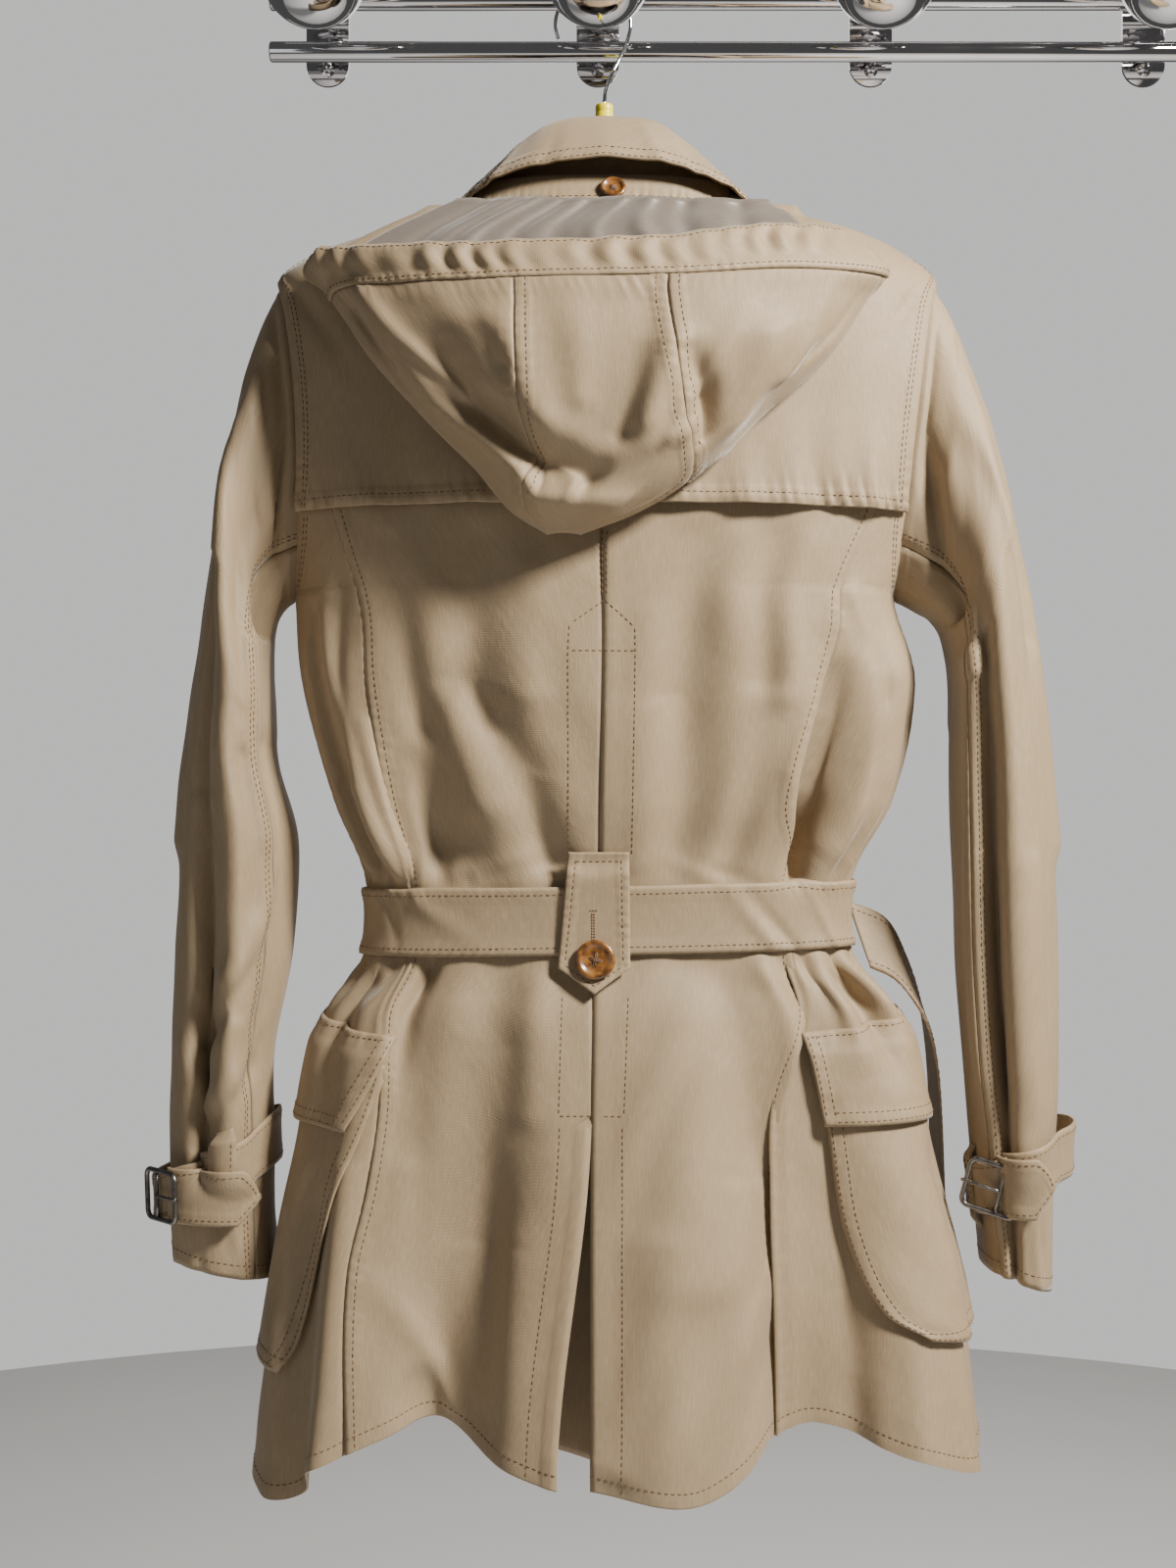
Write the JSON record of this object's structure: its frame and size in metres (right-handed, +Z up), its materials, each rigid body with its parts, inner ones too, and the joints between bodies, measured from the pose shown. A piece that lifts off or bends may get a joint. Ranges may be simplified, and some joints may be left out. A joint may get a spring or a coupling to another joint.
{
  "type": "belted hooded trench coat on wall hook rack",
  "caption": "Short belted trench coat with hood, seen from its back, hanging by a hanger from a chrome wall rack with ball hooks.",
  "frame": {"origin": "on the wall, at the screw end of the back plate of the hook that carries the hanger", "axes": "+X towards the wearer's right, along the rack; +Y into the wall, so the coat's back faces -Y; +Z up"},
  "size_m": [0.7272, 0.1943, 1.0397],
  "materials": {
    "shell": "tight plain cotton blend, soft sheen",
    "lining": "satin",
    "horn": "polished, marbled",
    "buckle": "dark nickel",
    "hanger": "satin",
    "ferrule": "gloss",
    "chrome": "polished"
  },
  "bodies": {
    "root": {"back_left": "shell", "back_right": "shell", "side_left": "shell", "side_right": "shell", "front_left": "shell", "front_right": "shell", "pleat_underlay": "shell", "yoke": "shell", "sleeve_left_upper": "shell", "sleeve_left_under": "shell", "sleeve_right_upper": "shell", "sleeve_right_under": "shell", "belt": "shell", "belt_tail": "shell", "belt_tab": "shell", "pocket_left": "shell", "pocket_flap_left": "shell", "pocket_right": "shell", "pocket_flap_right": "shell", "hood_left": "shell", "hood_centre": "shell", "hood_right": "shell", "hood_band": "shell", "hood_under": "shell", "hood_strip": "shell", "collar_stand": "shell", "collar": "shell", "cuff_strap_left": "shell", "cuff_loop_left": "shell", "cuff_strap_right": "shell", "cuff_loop_right": "shell", "hood_lining": "lining", "belt_tab_button": "horn", "hood_strip_button": "horn", "front_button_1": "horn", "front_button_2": "horn", "front_button_3": "horn", "front_button_4": "horn", "front_button_5": "horn", "cuff_buckle_left": "buckle", "cuff_buckle_right": "buckle", "hanger_body": "hanger", "hanger_ferrule": "ferrule", "hanger_hook": "chrome", "rack_rail_upper": "chrome", "rack_rail_lower": "chrome", "rack_bracket_1": "chrome", "rack_bracket_2": "chrome", "rack_bracket_3": "chrome", "rack_bracket_4": "chrome", "rack_peg_1": "chrome", "rack_peg_2": "chrome", "rack_peg_3": "chrome", "rack_peg_4": "chrome"}
  },
  "joints": []
}
